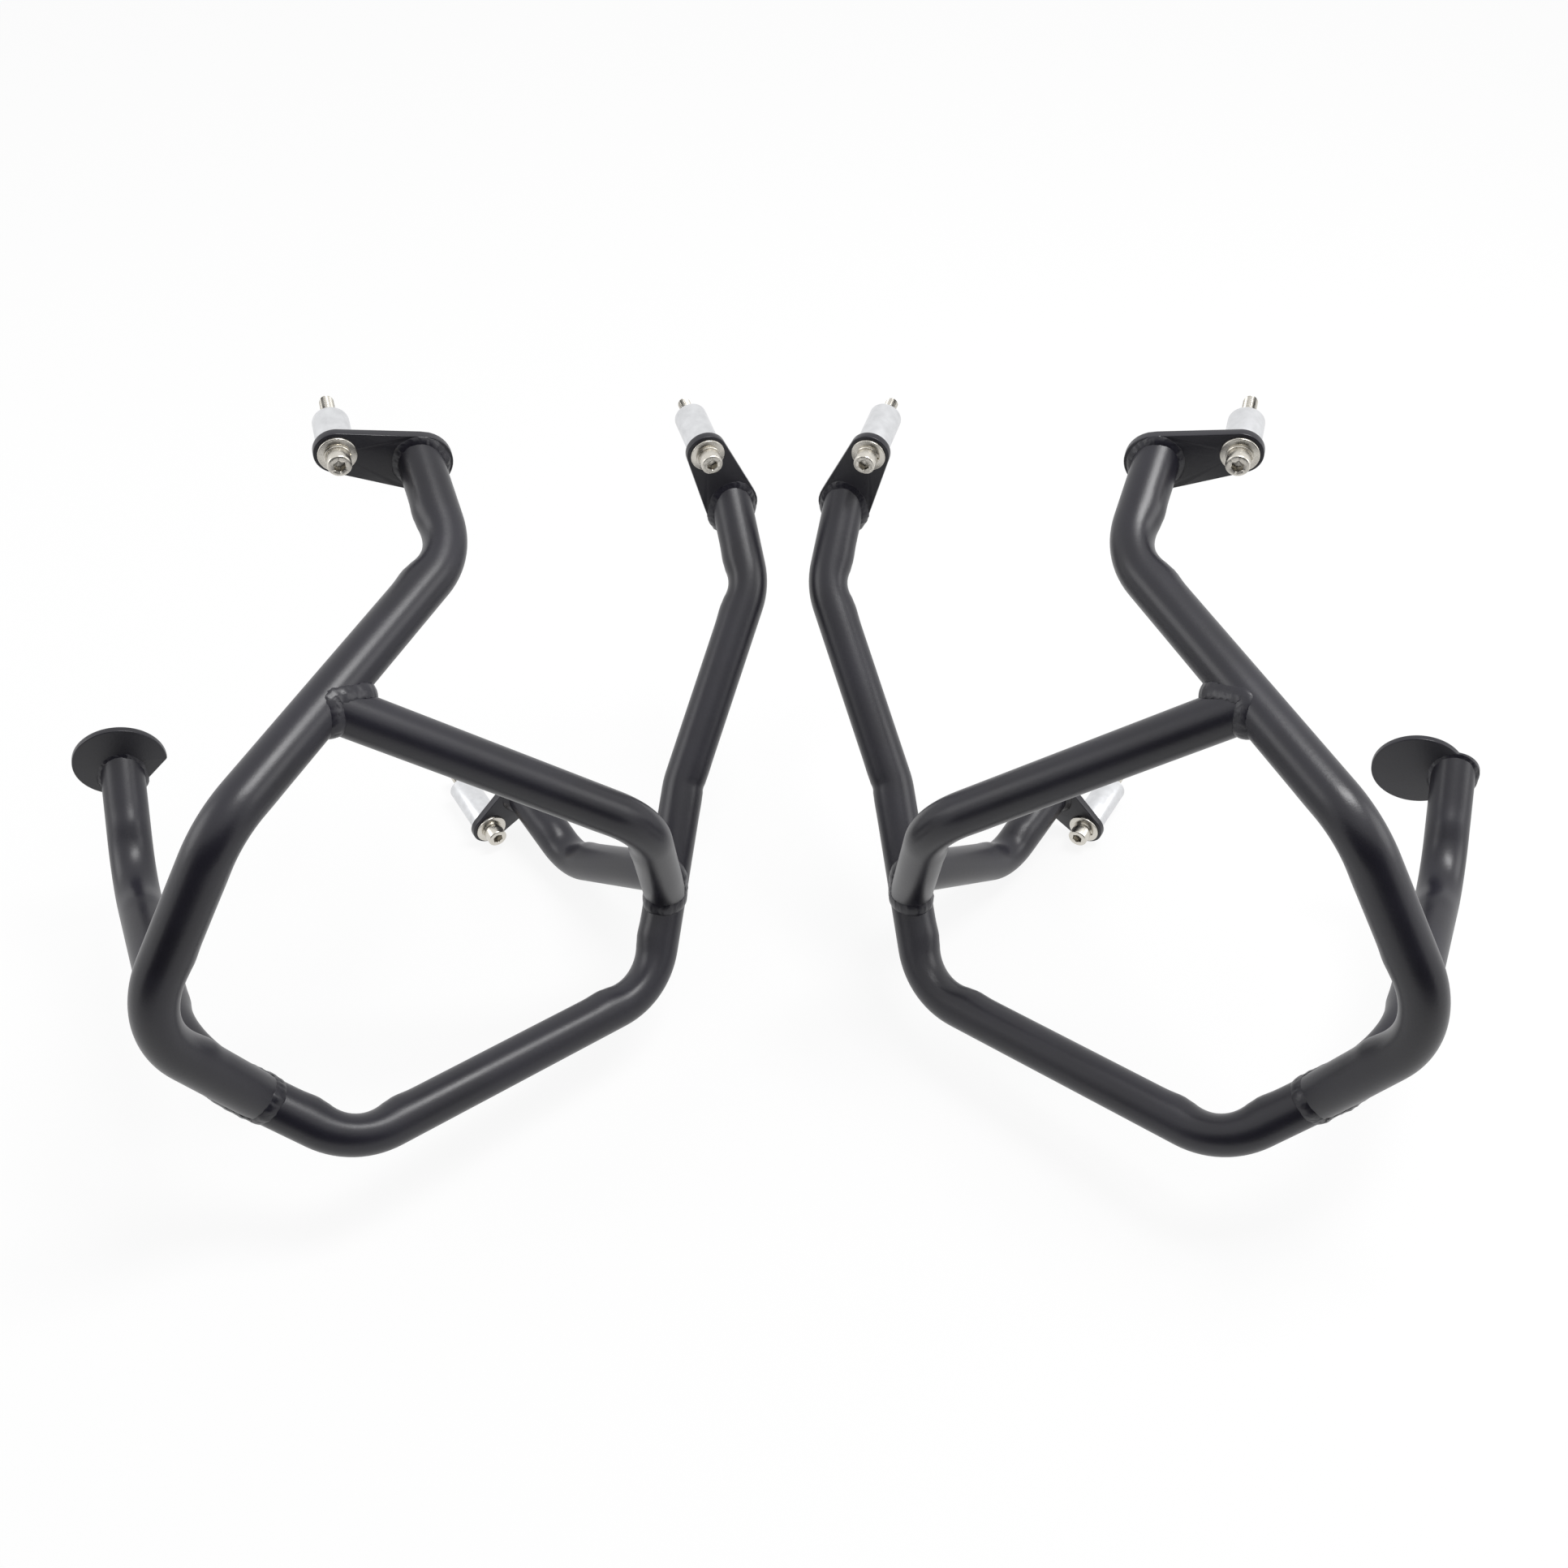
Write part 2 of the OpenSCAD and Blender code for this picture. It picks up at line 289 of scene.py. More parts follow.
def powder_coat(name, settings):
    """Satin polyester powder coat: baked on steel, it lies a little uneven and its grain
    breaks the long highlights of the tubes."""
    made, tree = new_material(name)
    # Flow of the melted powder, about 2.5 mm from crest to crest
    flow = noise(tree, 400.0, 2.0)
    # Grain of the powder is 0.1 mm and is drawn at 0.7 mm, so that it shows
    grain = noise(tree, 1400.0, 3.0, Roughness=0.6)
    patches = noise(tree, 22.0, 3.0)
    tone = two_tones(tree, patches, settings.coat_dark, settings.coat_light)
    tinted = put(tree, "ShaderNodeVectorMath", {
        0: tone, "Scale": ranged(tree, grain, 0.35, 0.65, 0.92, 1.08)}, operation="SCALE")
    rough = ranged(tree, patches, 0.3, 0.7, settings.coat_roughness - 0.03,
                   settings.coat_roughness + 0.03)
    waves = bumped(tree, flow, 0.10, 0.0004)
    surfaced(tree, tinted.outputs["Vector"], rough,
             bumped(tree, grain, 0.16, 0.0002, Normal=waves), 0.0,
             **{"IOR": 1.5, "Specular IOR Level": settings.coat_shine})
    return made


def bright_steel(name, settings):
    """Zinc plated steel, tumbled and passivated: bright, with a slightly cloudy surface."""
    made, tree = new_material(name)
    # Clouding of the passivation, patches of about 3 mm
    cloud = noise(tree, 330.0, 3.0)
    tone = two_tones(tree, cloud, settings.steel_dark, settings.steel_light)
    rough = ranged(tree, cloud, 0.3, 0.7, settings.steel_roughness - 0.04,
                   settings.steel_roughness + 0.06)
    # Tumbling marks are 0.1 mm and are drawn at 0.4 mm
    surfaced(tree, tone, rough, bumped(tree, noise(tree, 2500.0, 2.0), 0.03, 0.0001), 1.0)
    return made


def turned_aluminium(name, settings):
    """Aluminium bar turned on a lathe: the tool leaves fine rings across the spacer."""
    made, tree = new_material(name)
    # The V of the map runs along the spacer in metres, and the feed is 0.35 mm a turn,
    # drawn at 0.7 mm so that it shows
    turning = put(tree, "ShaderNodeUVMap", uv_map="turning")
    rings = put(tree, "ShaderNodeTexWave", {"Vector": turning.outputs["UV"], "Scale": 1 / 0.0044,
                                            "Distortion": 0.6, "Detail": 2.0},
                wave_type="BANDS", bands_direction="Y").outputs["Fac"]
    tone = two_tones(tree, noise(tree, 180.0, 3.0), settings.alloy_dark, settings.alloy_light)
    rough = ranged(tree, rings, 0.0, 1.0, settings.alloy_roughness - 0.04,
                   settings.alloy_roughness + 0.06)
    surfaced(tree, tone, rough, bumped(tree, rings, 0.25, 0.00004), 1.0)
    return made


def material(name):
    """The named finish, made once."""
    makers = {"satin_black_powder_coat": powder_coat, "bright_zinc_plated_steel": bright_steel,
              "lathe_turned_aluminium": turned_aluminium}
    found = bpy.data.materials.get(name)
    return found or makers[name](name, bpy.context.scene.crash_bar_finish)


# Geometry node trees

def new_tree(name, inputs):
    """An empty geometry tree, its group input and its group output. inputs are
    (name, socket kind, default)."""
    tree = bpy.data.node_groups.new(name, "GeometryNodeTree")
    tree.interface.new_socket("Geometry", in_out="INPUT", socket_type="NodeSocketGeometry")
    tree.interface.new_socket("Geometry", in_out="OUTPUT", socket_type="NodeSocketGeometry")
    for label, kind, default in inputs:
        made = tree.interface.new_socket(label, in_out="INPUT", socket_type=kind)
        if default is not None:
            made.default_value = default
    return tree, put(tree, "NodeGroupInput").outputs, put(tree, "NodeGroupOutput")


def end_tree(tree, output, geometry, finish):
    """Ends a tree in real geometry with its material."""
    real = put(tree, "GeometryNodeRealizeInstances", {"Geometry": geometry})
    painted = put(tree, "GeometryNodeSetMaterial",
                  {"Geometry": real.outputs["Geometry"], "Material": finish})
    tree.links.new(painted.outputs["Geometry"], output.inputs["Geometry"])


def grown(name, base, tree, values):
    """Runs a tree on an object and returns its result as a plain mesh object."""
    modifier = base.modifiers.new("grow", "NODES")
    modifier.node_group = tree
    for item in tree.interface.items_tree:
        if item.in_out == "INPUT" and item.name in values:
            modifier[item.identifier] = values[item.name]
    graph = bpy.context.evaluated_depsgraph_get()
    mesh = bpy.data.meshes.new_from_object(base.evaluated_get(graph))
    mesh.name = name
    bpy.data.objects.remove(base)
    return mesh_object(name, mesh)


def calc(tree, operation, *values):
    """A math node's result. Each value is a number or a socket."""
    return put(tree, "ShaderNodeMath", dict(enumerate(values)), operation=operation).outputs[0]


def vector_calc(tree, operation, first, second):
    """A vector math node. The second is a vector, or for SCALE a number."""
    slot = "Scale" if operation == "SCALE" else 1
    made = put(tree, "ShaderNodeVectorMath", {0: first, slot: second}, operation=operation)
    return made.outputs["Value" if operation == "DOT_PRODUCT" else "Vector"]


def named(tree, name, kind="FLOAT"):
    """A number that mark stored, or a vector."""
    return put(tree, "GeometryNodeInputNamedAttribute", {"Name": name},
               data_type=kind).outputs["Attribute"]


def swept_out(tree):
    """At each point of a sweep, the way out from the line that it was swept along."""
    place = put(tree, "GeometryNodeInputPosition").outputs["Position"]
    spoke = vector_calc(tree, "SUBTRACT", place, named(tree, "centre", "FLOAT_VECTOR"))
    return put(tree, "ShaderNodeVectorMath", {0: spoke}, operation="NORMALIZE").outputs["Vector"]


def moved(tree, geometry, way, distance):
    """Moves each point that far along its way."""
    return put(tree, "GeometryNodeSetPosition", {
        "Geometry": geometry,
        "Offset": vector_calc(tree, "SCALE", way, distance)}).outputs["Geometry"]


def bent_tube_tree():
    """A tube swept along a route. Where the route's squeeze is above nought the inside of the
    bend is pressed flat, and where it is below nought it stands out."""
    tree, given, output = new_tree("bent_tube", [
        ("Radius", "NodeSocketFloat", 0.0127), ("Sides", "NodeSocketInt", 64)])
    route = put(tree, "GeometryNodeMeshToCurve", {"Mesh": given["Geometry"]})
    ring = put(tree, "GeometryNodeCurvePrimitiveCircle",
               {"Resolution": given["Sides"], "Radius": given["Radius"]})
    swept = put(tree, "GeometryNodeCurveToMesh", {
        "Curve": route.outputs["Curve"], "Profile Curve": ring.outputs["Curve"],
        "Fill Caps": True})
    inward = named(tree, "inward", "FLOAT_VECTOR")
    inner = calc(tree, "MAXIMUM", vector_calc(tree, "DOT_PRODUCT", swept_out(tree), inward), 0.0)
    press = calc(tree, "MULTIPLY", calc(tree, "POWER", inner, 1.6), named(tree, "squeeze"))
    pressed = moved(tree, swept.outputs["Mesh"], inward, calc(tree, "MULTIPLY", press, -1.0))
    end_tree(tree, output, pressed, material("satin_black_powder_coat"))
    return tree


def weld_tree():
    """A fillet weld along its seam. A thin ring is swept along the seam and then pushed out to
    the weld's bulging face, with overlapping ripples and a hand's unevenness."""
    tree, given, output = new_tree("weld_bead", [
        ("Bulge radius", "NodeSocketFloat", 0.012), ("Pitch", "NodeSocketFloat", 0.0044),
        ("Ripple", "NodeSocketFloat", 0.0002), ("Lumps", "NodeSocketFloat", 0.0026),
        ("Seed", "NodeSocketFloat", 3.0)])
    line = put(tree, "GeometryNodeMeshToCurve", {"Mesh": given["Geometry"]})
    turns = calc(tree, "DIVIDE", put(tree, "GeometryNodeSplineLength").outputs["Length"],
                 given["Pitch"])
    phase = calc(tree, "MULTIPLY",
                 put(tree, "GeometryNodeSplineParameter").outputs["Factor"],
                 calc(tree, "ROUND", turns))
    kept = put(tree, "GeometryNodeStoreNamedAttribute", {
        "Geometry": line.outputs["Curve"], "Name": "phase", "Value": phase},
        data_type="FLOAT", domain="POINT")
    thin = 1 * MM
    ring = put(tree, "GeometryNodeCurvePrimitiveCircle", {"Resolution": 44, "Radius": thin})
    swept = put(tree, "GeometryNodeCurveToMesh", {
        "Curve": kept.outputs["Geometry"], "Profile Curve": ring.outputs["Curve"]})
    outward = swept_out(tree)
    facing = vector_calc(tree, "DOT_PRODUCT", outward, named(tree, "facing", "FLOAT_VECTOR"))
    # Distance from the seam to a circle whose centre lies that deep in the steel
    depth = named(tree, "depth")
    towards = calc(tree, "MULTIPLY", depth, facing)
    beside = calc(tree, "SUBTRACT", calc(tree, "POWER", depth, 2.0),
                  calc(tree, "POWER", towards, 2.0))
    bulge = calc(tree, "SUBTRACT", calc(tree, "POWER", given["Bulge radius"], 2.0), beside)
    face = calc(tree, "SUBTRACT", calc(tree, "SQRT", calc(tree, "MAXIMUM", bulge, 0.0)),
                towards)
    # The middle of each ripple runs ahead of its edges, rises at once and falls away slowly
    step = calc(tree, "FRACT", calc(tree, "MULTIPLY_ADD", facing, -0.9, named(tree, "phase")))
    ripple = calc(tree, "MULTIPLY", calc(tree, "SUBTRACT", 0.5, calc(tree, "POWER", step, 0.6)),
                  given["Ripple"])
    uneven = put(tree, "ShaderNodeTexNoise", {
        "Vector": named(tree, "centre", "FLOAT_VECTOR"), "W": given["Seed"], "Scale": 170.0,
        "Detail": 2.0}, noise_dimensions="4D")
    lump = calc(tree, "SUBTRACT", uneven.outputs["Fac"], 0.5)
    total = calc(tree, "ADD", face, calc(tree, "MULTIPLY_ADD", lump, given["Lumps"], ripple))
    # Only the side that faces out of the steel is pushed out
    open_side = ranged(tree, calc(tree, "SUBTRACT", facing, named(tree, "edge")), -0.35, -0.05,
                       0.0, 1.0, interpolation_type="SMOOTHSTEP")
    push = calc(tree, "MULTIPLY", open_side, calc(tree, "SUBTRACT", total, thin))
    end_tree(tree, output, moved(tree, swept.outputs["Mesh"], outward, push),
             material("satin_black_powder_coat"))
    return tree


def fastener_tree():
    """One turned part set at each mount of both bars, turned to the mount's axis."""
    tree, given, output = new_tree("mounted_part", [
        ("Part", "NodeSocketObject", None), ("Finish", "NodeSocketMaterial", None)])
    part = put(tree, "GeometryNodeObjectInfo", {"Object": given["Part"]},
               transform_space="ORIGINAL")
    turn = put(tree, "FunctionNodeEulerToRotation", {"Euler": named(tree, "turn", "FLOAT_VECTOR")})
    spread = put(tree, "GeometryNodeInstanceOnPoints", {
        "Points": put(tree, "GeometryNodeMeshToPoints",
                      {"Mesh": given["Geometry"]}).outputs["Points"],
        "Instance": part.outputs["Geometry"], "Rotation": turn.outputs["Rotation"]})
    end_tree(tree, output, spread.outputs["Instances"], given["Finish"])
    return tree


# Routes of the tubes

def route_corners():
    """Corners and bend radii of each tube of a bar, in metres, with the joints worked out."""
    base = [vec(p) for p in FRAME_CORNERS]
    hoop = [vec(p) for p in HOOP_CORNERS]
    hoop.append(along(base[4], base[5], HOOP_ON_FRAME * MM))
    cross = [along(hoop[1], hoop[2], CROSS_ON_HOOP * MM), vec(CROSS_CORNER),
             along(base[2], base[3], CROSS_ON_FRAME * MM)]
    stub = [along(base[2], base[3], STUB_ON_FRAME * MM), vec(STUB_CORNER), vec(STUB_END)]
    return {
        "frame_tube": (base, [r * MM for r in FRAME_RADII]),
        "hoop_tube": (hoop, [r * MM for r in HOOP_RADII]),
        "cross_tube": (cross, [r * MM for r in CROSS_RADII]),
        "stub_tube": (stub, [r * MM for r in STUB_RADII]),
    }


def stations(corners, radii, step):
    """The places along a rounded route, and its bends as (start, end, first inward way,
    last inward way, turn), the first two as places in the list."""
    places, bends, last = [corners[0]], [], corners[0]

    def straight_to(goal):
        count = max(1, round((goal - last).length / step))
        places.extend(last.lerp(goal, k / count) for k in range(1, count + 1))

    for i in range(1, len(corners) - 1):
        before = (corners[i] - corners[i - 1]).normalized()
        after = (corners[i + 1] - corners[i]).normalized()
        turn = before.angle(after)
        radius = radii[i - 1]
        inward = (after - after.dot(before) * before).normalized()
        straight_to(corners[i] - before * radius * math.tan(turn / 2))
        first = len(places) - 1
        centre = places[-1] + inward * radius
        count = max(3, round(turn * radius / step))
        for k in range(1, count + 1):
            t = turn * k / count
            places.append(centre - inward * radius * math.cos(t) + before * radius * math.sin(t))
        after_inward = inward * math.cos(turn) - before * math.sin(turn)
        bends.append((first, len(places) - 1, inward, after_inward, turn))
        last = places[-1]
    straight_to(corners[-1])
    return places, bends


def bend_marks(places, bends, settings):
    """For each place the way to the inside of the nearest bend and how far it is pressed in."""
    # The swelling is highest 7 mm from the bend, and none of it is left at the bend itself
    crest, spread, lead = 0.007, 0.006, 0.005
    marks = []
    run = [0.0]
    for a, b in zip(places, places[1:]):
        run.append(run[-1] + (b - a).length)
    for k, s in enumerate(run):
        best = (1.0, Vector((0, 0, 1)), 0.0)
        for first, end, inward, after_inward, turn in bends:
            strength = min(1.0, turn / math.radians(50))
            if first <= k <= end:
                share = (s - run[first]) / (run[end] - run[first])
                t = turn * share
                forward = (places[min(k + 1, end)] - places[max(k - 1, first)]).normalized()
                level = inward.lerp(after_inward, share)
                way = (level - level.dot(forward) * forward).normalized()
                depth = settings.bend_press * strength * math.sin(math.pi * share) ** 0.9
                best = (0.0, way, depth)
                break
            gap = run[first] - s if k < first else s - run[end]
            if gap < best[0]:
                bump = math.exp(-((gap - crest) / spread) ** 2) * min(1.0, gap / lead)
                way = inward if k < first else after_inward
                best = (gap, way, -settings.bend_bump * strength * bump)
        marks.append(best[1:])
    return marks


def route_mesh(name, places, marks):
    """An open line of edges that carries the route's marks for the tube tree."""
    mesh = raw_mesh(name, places, [(k, k + 1) for k in range(len(places) - 1)])
    mark(mesh, "centre", places)
    mark(mesh, "inward", [way for way, _ in marks])
    mark(mesh, "squeeze", [press for _, press in marks])
    return mesh


def cut_flat(mesh, foot, normal):
    """Cuts a tube's end off level with the plate that it stands on, and closes it."""
    end_reach = 50 * MM
    with edited(mesh) as work:
        near = [v for v in work.verts if (v.co - foot).length < end_reach]
        close = set(near)
        faces = [f for f in work.faces if all(v in close for v in f.verts)]
        edges = {e for f in faces for e in f.edges}
        cut = bmesh.ops.bisect_plane(work, geom=near + list(edges) + faces, plane_co=foot,
                                     plane_no=normal, clear_outer=True)
        rim = [e for e in cut["geom_cut"] if isinstance(e, bmesh.types.BMEdge)]
        bmesh.ops.holes_fill(work, edges=rim, sides=0)
        bmesh.ops.recalc_face_normals(work, faces=work.faces)


def number(name, description, default, low, high, **more):
    return bpy.props.FloatProperty(name=name, description=description, default=default,
                                   min=low, max=high, **more)


def length(name, description, default, low, high):
    return number(name, description, default, low, high, unit="LENGTH")


def hex_value(name, description, default):
    return bpy.props.StringProperty(name=name, description=description, default=default)


class TubeSettings(bpy.types.PropertyGroup):
    """Sizes of the bent tubes."""
    diameter: length("Tube diameter", "Outside diameter of every tube", 0.0254, 0.022, 0.028)
    sides: bpy.props.IntProperty(
        name="Sides", description="Number of sides of a tube", default=64, min=24, max=96)
    step: length("Step", "Distance between rings along a tube", 0.003, 0.002, 0.01)
    bend_press: length("Bend flattening", "How far the inside of a sharp bend is pressed in",
                       0.0021, 0.0, 0.004)
    bend_bump: length("Bend bump", "Height of the swelling where a bend starts",
                      0.0007, 0.0, 0.002)


class PlateSettings(bpy.types.PropertyGroup):
    """Sizes of the plates and pads."""
    thickness: length("Plate thickness", "Thickness of the mounting plates",
                      0.005, 0.003, 0.008)
    hole_end: length("End radius", "Radius of a plate around its hole", 0.0125, 0.01, 0.02)
    hole: length("Hole diameter", "Hole in a plate", 0.009, 0.007, 0.011)
    pad_thickness: length("Pad thickness", "Thickness of the pads", 0.004, 0.003, 0.008)
    pad_diameter: length("Pad diameter", "Diameter of the round of a pad", 0.054, 0.044, 0.064)
    edge: length("Edge radius", "Rounding that the coat gives to cut edges",
                 0.0007, 0.0002, 0.0015)


class WeldSettings(bpy.types.PropertyGroup):
    """Sizes of the weld beads."""
    bulge: length("Bulge radius", "Radius of the round face of a weld", 0.012, 0.01, 0.014)
    lumps: length("Unevenness", "How far a weld swells and thins along its seam",
                  0.0026, 0.0, 0.004)
    pitch: length("Ripple pitch", "Distance between the ripples of a bead",
                  0.0044, 0.002, 0.006)
    ripple: length("Ripple height", "Height of a ripple", 0.0002, 0.0, 0.001)


class FastenerSettings(bpy.types.PropertyGroup):
    """Sizes of the bolts, washers and spacers."""
    thread: length("Thread diameter", "Outside diameter of the thread", 0.008, 0.006, 0.01)
    thread_pitch: length("Thread pitch", "Distance between the turns of the thread",
                         0.00125, 0.001, 0.002)
    head: length("Head diameter", "Diameter of the cap head", 0.013, 0.012, 0.016)
    head_height: length("Head height", "Height of the cap head", 0.008, 0.006, 0.01)
    socket: length("Socket width", "Width of the hexagon socket across its flats",
                   0.006, 0.004, 0.007)
    socket_depth: length("Socket depth", "Depth of the hexagon socket", 0.004, 0.002, 0.005)
    washer: length("Flat washer diameter", "Outside diameter of a flat washer",
                   0.021, 0.018, 0.024)
    washer_thickness: length("Flat washer thickness", "Thickness of a flat washer",
                             0.0016, 0.001, 0.0025)
    spring: length("Spring washer diameter", "Outside diameter of a spring washer",
                   0.0144, 0.013, 0.016)
    spring_thickness: length("Spring washer thickness", "Thickness of a spring washer",
                             0.002, 0.0015, 0.003)
    spacer: length("Spacer diameter", "Outside diameter of a spacer", 0.02, 0.016, 0.024)
    spacer_chamfer: length("Spacer chamfer", "Chamfer at both ends of a spacer",
                           0.001, 0.0005, 0.002)


class FinishSettings(bpy.types.PropertyGroup):
    """Colours as sRGB hex values, and roughness."""
    coat_dark: hex_value("Coat, dark", "Darker tone of the powder coat", "#19181f")
    coat_light: hex_value("Coat, light", "Lighter tone of the powder coat", "#1f1e27")
    coat_roughness: number("Coat roughness", "Roughness of the powder coat", 0.34, 0.2, 0.8)
    coat_shine: number("Coat shine", "Specular level of the powder coat, dulled by its pigment",
                       0.5, 0.1, 0.6)
    steel_dark: hex_value("Steel, dark", "Darker tone of the plated steel", "#cfcbc2")
    steel_light: hex_value("Steel, light", "Lighter tone of the plated steel", "#d6d2ca")
    steel_roughness: number("Steel roughness", "Roughness of the plated steel", 0.27, 0.05, 0.6)
    alloy_dark: hex_value("Aluminium, dark", "Darker tone of the aluminium", "#d2d3d5")
    alloy_light: hex_value("Aluminium, light", "Lighter tone of the aluminium", "#e0e1e3")
    alloy_roughness: number("Aluminium roughness", "Roughness of the turned aluminium",
                            0.34, 0.1, 0.6)


class StageSettings(bpy.types.PropertyGroup):
    """Light, floor and camera."""
    top_light: number("Overhead light", "Power of the overhead softbox, in watts",
                      15.0, 0.0, 100.0)
    side_light: number("Side light", "Power of each side softbox, in watts", 3.5, 0.0, 100.0)
    room_light: number("Room light", "Light that the room gives", 0.7, 0.0, 1.0)
    card_width: length("Card width", "Width of the black card behind the camera", 4.4, 0.0, 6.0)
    shadow: bpy.props.FloatProperty(
        name="Shadow share", description="How much of the floor's shadow the camera sees",
        default=0.12, min=0.0, max=1.0, subtype="FACTOR")
    focal_length: number("Focal length", "Focal length on a 36 mm frame", 37.27, 20.0, 100.0)
    camera_place: bpy.props.FloatVectorProperty(
        name="Camera", description="Place of the camera", size=3,
        default=(0.00278, -0.64418, 0.86514), subtype="TRANSLATION")
    camera_pitch: number("Camera pitch", "Angle that the camera looks down by, in degrees",
                         48.1, 0.0, 90.0)


class CRASHBARS_OT_tubes(bpy.types.Operator):
    """Sweeps the four bent tubes of each bar"""
    bl_idname = "crashbars.tubes"
    bl_label = "Bent tubes"

    def execute(self, context):
        settings = context.scene.crash_bar_tubes
        tree = bent_tube_tree()
        feet = {"frame_tube": [((0, 0, 0), 0), (PAD_FOOT, 0)],
                "hoop_tube": [(PLATES["upper_outer"]["foot"], 0)],
                "stub_tube": [(PLATES["middle"]["foot"], PLATES["middle"]["yaw"])],
                "cross_tube": []}
        for side in SIDES:
            for name, (corners, radii) in route_corners().items():
                corners = list(corners)
                if name in ("frame_tube", "hoop_tube"):
                    corners[0] = along(corners[0], corners[1], -settings.diameter / 2)
                if name in ("frame_tube", "stub_tube"):
                    corners[-1] = along(corners[-1], corners[-2], -settings.diameter / 2)
                places, bends = stations(corners, radii, settings.step)
                marks = bend_marks(places, bends, settings)
                line = mesh_object("route", route_mesh("route", places, marks))
                tube = grown(f"{side}_{name}_bent", line, tree, {
                    "Radius": settings.diameter / 2, "Sides": settings.sides})
                for foot, yaw in feet[name]:
                    turned = Matrix.Rotation(math.radians(yaw), 3, "Z")
                    cut_flat(tube.data, vec(foot), turned @ Vector((0, 1, 0)))
                forget(tube.data, ("centre", "inward", "squeeze"))
                tube.data.transform(side_matrix(side))
                dressed(tube.data, angle=40)
                finished(tube, [f"{side}_{name}"])
        return {"FINISHED"}


# Parts built of rings

def ring_stack(name, rings, sides, closed=False):
    """A mesh of rings. Each ring gives (x, y, z) for an angle. Ends are filled unless closed
    joins the last ring to the first."""
    work = bmesh.new()
    layers = [[work.verts.new(ring(2 * math.pi * k / sides)) for k in range(sides)]
              for ring in rings]
    pairs = list(zip(layers, layers[1:])) + ([(layers[-1], layers[0])] if closed else [])
    for low, high in pairs:
        for k in range(sides):
            work.faces.new((low[k], low[(k + 1) % sides], high[(k + 1) % sides], high[k]))
    if not closed:
        for layer in (layers[0], layers[-1]):
            middle = work.verts.new(sum((v.co for v in layer), Vector()) / sides)
            for k in range(sides):
                work.faces.new((layer[k], layer[(k + 1) % sides], middle))
    bmesh.ops.recalc_face_normals(work, faces=work.faces)
    return closed_edit(name, work)


def circle_ring(radius, z):
    return lambda t: (radius * math.cos(t), radius * math.sin(t), z)


def lathe(profile):
    """Rings of a turned shape from its profile of (radius, height)."""
    return [circle_ring(radius, z) for radius, z in profile]


def outline_ring(outline, inset, z, centre=(0.0, 0.0)):
    """A ring that follows an outline given as a distance for each angle, drawn in by inset."""
    def ring(t):
        distance = outline(t) - inset
        return (centre[0] + distance * math.cos(t), centre[1] + distance * math.sin(t), z)
    return ring


def disc_reach(origin, centre, radius, t):
    """How far a ray from origin at angle t runs before it leaves a disc, or nought."""
    way = Vector((math.cos(t), math.sin(t)))
    offset = Vector(origin) - Vector(centre)
    half = offset.dot(way)
    inside = half * half - offset.length_squared + radius * radius
    return max(0.0, math.sqrt(inside) - half) if inside > 0 else 0.0


def teardrop_reach(foot_radius, hole_radius, length):
    """Outline of a plate seen from its hole, with the tube's foot at -X."""
    angle = math.acos((foot_radius - hole_radius) / length)
    normal = Vector((math.cos(angle), math.sin(angle)))

    def outline(t):
        reach = max(disc_reach((0, 0), (0, 0), hole_radius, t),
                    disc_reach((0, 0), (-length, 0), foot_radius, t))
        way = Vector((math.cos(t), abs(math.sin(t))))
        ahead = way.dot(normal)
        if ahead > 1e-6:
            edge = hole_radius / ahead
            x = edge * way.x
            low = -length + foot_radius * normal.x
            if low <= x <= hole_radius * normal.x:
                reach = max(reach, edge)
        return reach
    return outline


def slab_rings(outline, thickness, edge, centre=(0.0, 0.0)):
    """Rings from the front face over the rounded edges to the back face."""
    turns = [quarter * math.pi / 2 for quarter in (0.0, 0.25, 0.5, 0.75, 1.0)]
    steps = [(edge * (1 - math.sin(a)), edge * (1 - math.cos(a))) for a in turns]
    return ([outline_ring(outline, inset, -drop, centre) for inset, drop in steps]
            + [outline_ring(outline, drop, inset - thickness, centre) for inset, drop in steps])


class CRASHBARS_OT_plates(bpy.types.Operator):
    """Makes the three mounting plates of each bar with softly coated edges"""
    bl_idname = "crashbars.plates"
    bl_label = "Mounting plates"

    def execute(self, context):
        settings = context.scene.crash_bar_plates
        tube = context.scene.crash_bar_tubes.diameter / 2
        hole = settings.hole / 2
        lip = settings.edge / 2
        for node, plate, matrix in mounts():
            angle = math.radians(plate["angle"])
            way = Vector((plate["reach"] * MM * math.cos(angle),
                          (plate["reach"] * math.sin(angle) + plate["drop"]) * MM))
            outline = teardrop_reach(tube + plate["rim"] * MM, settings.hole_end, way.length)
            rings = [circle_ring(hole + lip, 0)]
            rings += slab_rings(outline, settings.thickness, settings.edge)
            rings += lathe([(hole + lip, -settings.thickness), (hole, lip - settings.thickness),
                            (hole, -lip)])
            mesh = ring_stack("plate", rings, sides=192, closed=True)
            mesh.transform(matrix @ Matrix.Rotation(math.atan2(way.y, way.x), 4, "Z"))
            shown(f"{node}_plate_coated", mesh, "satin_black_powder_coat", f"{node}_plate")
        return {"FINISHED"}


